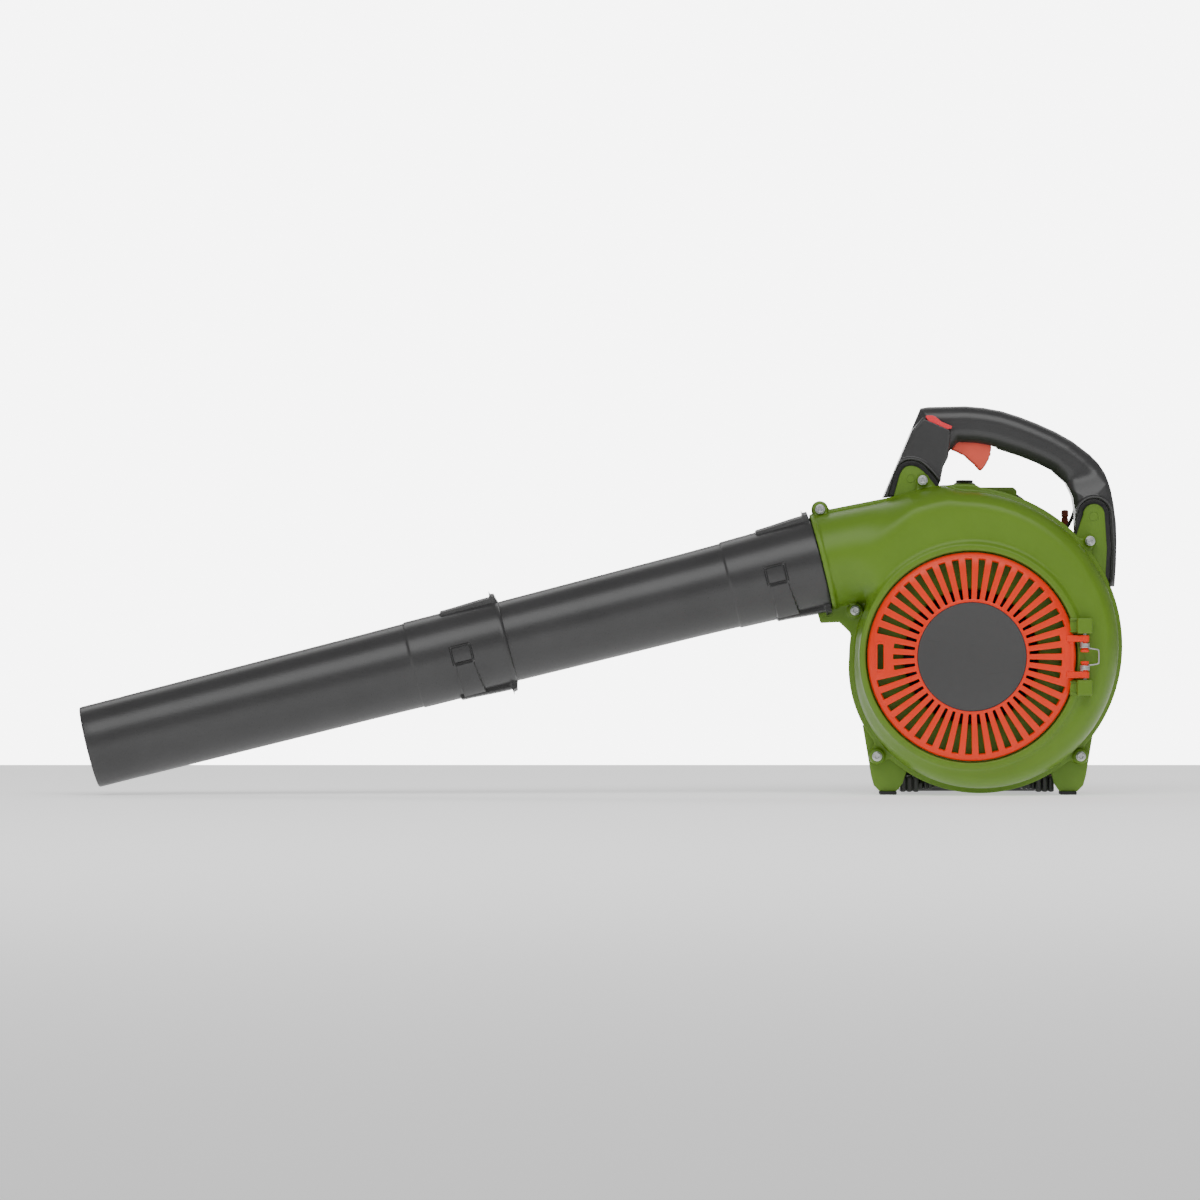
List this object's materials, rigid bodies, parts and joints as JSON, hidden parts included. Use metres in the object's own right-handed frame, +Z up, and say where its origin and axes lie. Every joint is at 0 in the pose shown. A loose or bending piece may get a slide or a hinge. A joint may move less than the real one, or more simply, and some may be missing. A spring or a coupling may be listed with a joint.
{
  "type": "leaf blower",
  "caption": "Hand-held petrol leaf blower: volute fan casing with hinged intake grille, two-piece bayonet tube, trigger handle and small recoil-start engine.",
  "frame": {"origin": "centre of the intake throat at its mouth, on the crank axis", "axes": "+X away from the nozzle, +Y from the intake side to the engine side, +Z up"},
  "size_m": [1.0011, 0.242, 0.3738],
  "materials": {
    "green_plastic": "semi-gloss moulded",
    "orange_plastic": "semi-gloss moulded",
    "grey_disc": "matt",
    "bright_steel": "zinc plated",
    "spring_steel": "drawn wire",
    "black_plastic": "fine texture",
    "coral_plastic": "semi-gloss moulded",
    "red_plastic": "semi-gloss moulded",
    "pin_steel": "ground",
    "brass": "stamped",
    "rubber": "matt",
    "cast_aluminium": "die cast",
    "coil_resin": "potted resin",
    "plug_ceramic": "glazed",
    "muffler_steel": "heat-tinted",
    "phenolic": "moulded",
    "filter_felt": "felt",
    "brown_plastic": "moulded",
    "primer_rubber": "translucent",
    "tank_plastic": "translucent blow-moulded",
    "fuel_hose": "smooth",
    "nylon": "moulded",
    "rope": "braided"
  },
  "bodies": {
    "root": {"volute_front": "green_plastic", "volute_rear": "green_plastic", "grille_hinge_pins": "bright_steel", "grille_spring": "spring_steel", "casing_screws": "bright_steel", "handle_front": "black_plastic", "handle_rear": "black_plastic", "handle_screws": "bright_steel", "trigger_pin": "pin_steel", "trigger_spring": "spring_steel", "switch_contacts": "brass", "foot_pads": "rubber", "base_guard": "black_plastic", "crankcase_front": "cast_aluminium", "crankcase_rear": "cast_aluminium", "engine_cylinder": "cast_aluminium", "main_bearings": "pin_steel", "ignition_coil": "coil_resin", "spark_plug": "plug_ceramic", "plug_boot": "rubber", "plug_lead": "rubber", "muffler": "muffler_steel", "muffler_guard": "black_plastic", "insulator_block": "phenolic", "carburettor": "cast_aluminium", "throttle_cable": "rubber", "filter_base": "black_plastic", "filter_element": "filter_felt", "fuel_tank": "tank_plastic", "fuel_line": "fuel_hose", "engine_cover": "green_plastic", "plug_cap": "black_plastic", "starter_housing": "black_plastic", "starter_spring": "spring_steel", "engine_screws": "bright_steel"},
    "grille": {"intake_grille": "orange_plastic", "grille_badge": "grey_disc"},
    "rotor": {"crankshaft": "pin_steel", "crankshaft_nuts": "bright_steel", "impeller": "black_plastic", "flywheel": "cast_aluminium", "starter_cup": "pin_steel"},
    "piston_rod": {"piston": "cast_aluminium", "piston_pin": "pin_steel", "piston_rings": "pin_steel", "connecting_rod": "cast_aluminium", "crank_pin": "pin_steel"},
    "trigger": {"throttle_trigger": "coral_plastic"},
    "throttle": {"throttle_lever": "pin_steel"},
    "switch": {"stop_switch": "red_plastic"},
    "upper_tube": {"blower_tube": "black_plastic"},
    "nozzle": {"nozzle_tube": "black_plastic"},
    "choke": {"choke_lever": "brown_plastic"},
    "primer": {"primer_bulb": "primer_rubber"},
    "tank_cap": {"fuel_cap": "orange_plastic"},
    "filter_lid": {"filter_cover": "black_plastic"},
    "lid_knob": {"filter_knob": "black_plastic"},
    "reel": {"starter_reel": "nylon"},
    "pull_grip": {"starter_grip": "black_plastic", "starter_rope": "rope"}
  },
  "joints": [
    {"name": "grille_hinge", "type": "hinge", "parent": "root", "child": "grille", "pos_m": [0.1075, -0.014, 0], "axis": [0, 0, 1], "range_deg": [0, 100], "stiffness_Nm_per_rad": 0.1, "springref_deg": -34.38},
    {"name": "rotor_spin", "type": "hinge", "parent": "root", "child": "rotor", "pos_m": [0, 0, 0], "axis": [0, 1, 0], "continuous": true},
    {"name": "piston_slide", "type": "slide", "parent": "root", "child": "piston_rod", "axis": [0, 0, -1], "range_m": [0, 0.029]},
    {"name": "trigger_pull", "type": "hinge", "parent": "root", "child": "trigger", "pos_m": [-0.009, 0.064, 0.214], "axis": [0, -1, 0], "range_deg": [0, 15], "stiffness_Nm_per_rad": 0.1, "springref_deg": -22.92},
    {"name": "throttle_turn", "type": "hinge", "parent": "root", "child": "throttle", "pos_m": [0.074, 0.117, 0.084], "axis": [0, 1, 0], "range_deg": [0, 55]},
    {"name": "stop_rocker", "type": "hinge", "parent": "root", "child": "switch", "pos_m": [-0.0293, 0.0425, 0.2236], "axis": [0, 1, 0], "range_deg": [0, 14]},
    {"name": "tube_twist", "type": "hinge", "parent": "root", "child": "upper_tube", "pos_m": [-0.1422, 0.04, 0.0903], "axis": [0.9694, 0, 0.2453], "range_deg": [0, 18]},
    {"name": "nozzle_twist", "type": "hinge", "parent": "upper_tube", "child": "nozzle", "pos_m": [-0.44215, 0.04, 0.0144], "axis": [0.9694, 0, 0.2453], "range_deg": [0, 18]},
    {"name": "choke_swing", "type": "hinge", "parent": "root", "child": "choke", "pos_m": [0.0975, 0.117, 0.119], "axis": [1, 0, 0], "range_deg": [0, 50]},
    {"name": "primer_press", "type": "slide", "parent": "root", "child": "primer", "axis": [0, -1, 0], "range_m": [0, 0.004], "stiffness_N_per_m": 400, "springref_m": -0.001},
    {"name": "cap_lift", "type": "slide", "parent": "root", "child": "tank_cap", "axis": [1, 0, 0], "range_m": [0, 0.05]},
    {"name": "lid_lift", "type": "slide", "parent": "root", "child": "filter_lid", "axis": [1, 0, 0], "range_m": [0, 0.06]},
    {"name": "knob_turn", "type": "hinge", "parent": "filter_lid", "child": "lid_knob", "pos_m": [0.126, 0.117, 0.046], "axis": [1, 0, 0], "continuous": true},
    {"name": "grip_pull", "type": "slide", "parent": "root", "child": "pull_grip", "axis": [0, 0, 1], "range_m": [0, 0.6], "stiffness_N_per_m": 12, "springref_m": -0.4, "deforming": ["starter_rope"]},
    {"name": "reel_spin", "type": "hinge", "parent": "root", "child": "reel", "pos_m": [0, 0.207, 0], "axis": [0, 1, 0], "range_deg": [0, 960]}
  ],
  "couplings": [
    {"joint": "throttle_turn", "follows": "trigger_pull", "ratio": 3.2},
    {"joint": "reel_spin", "follows": "grip_pull", "rad_per_m": 27.778}
  ]
}
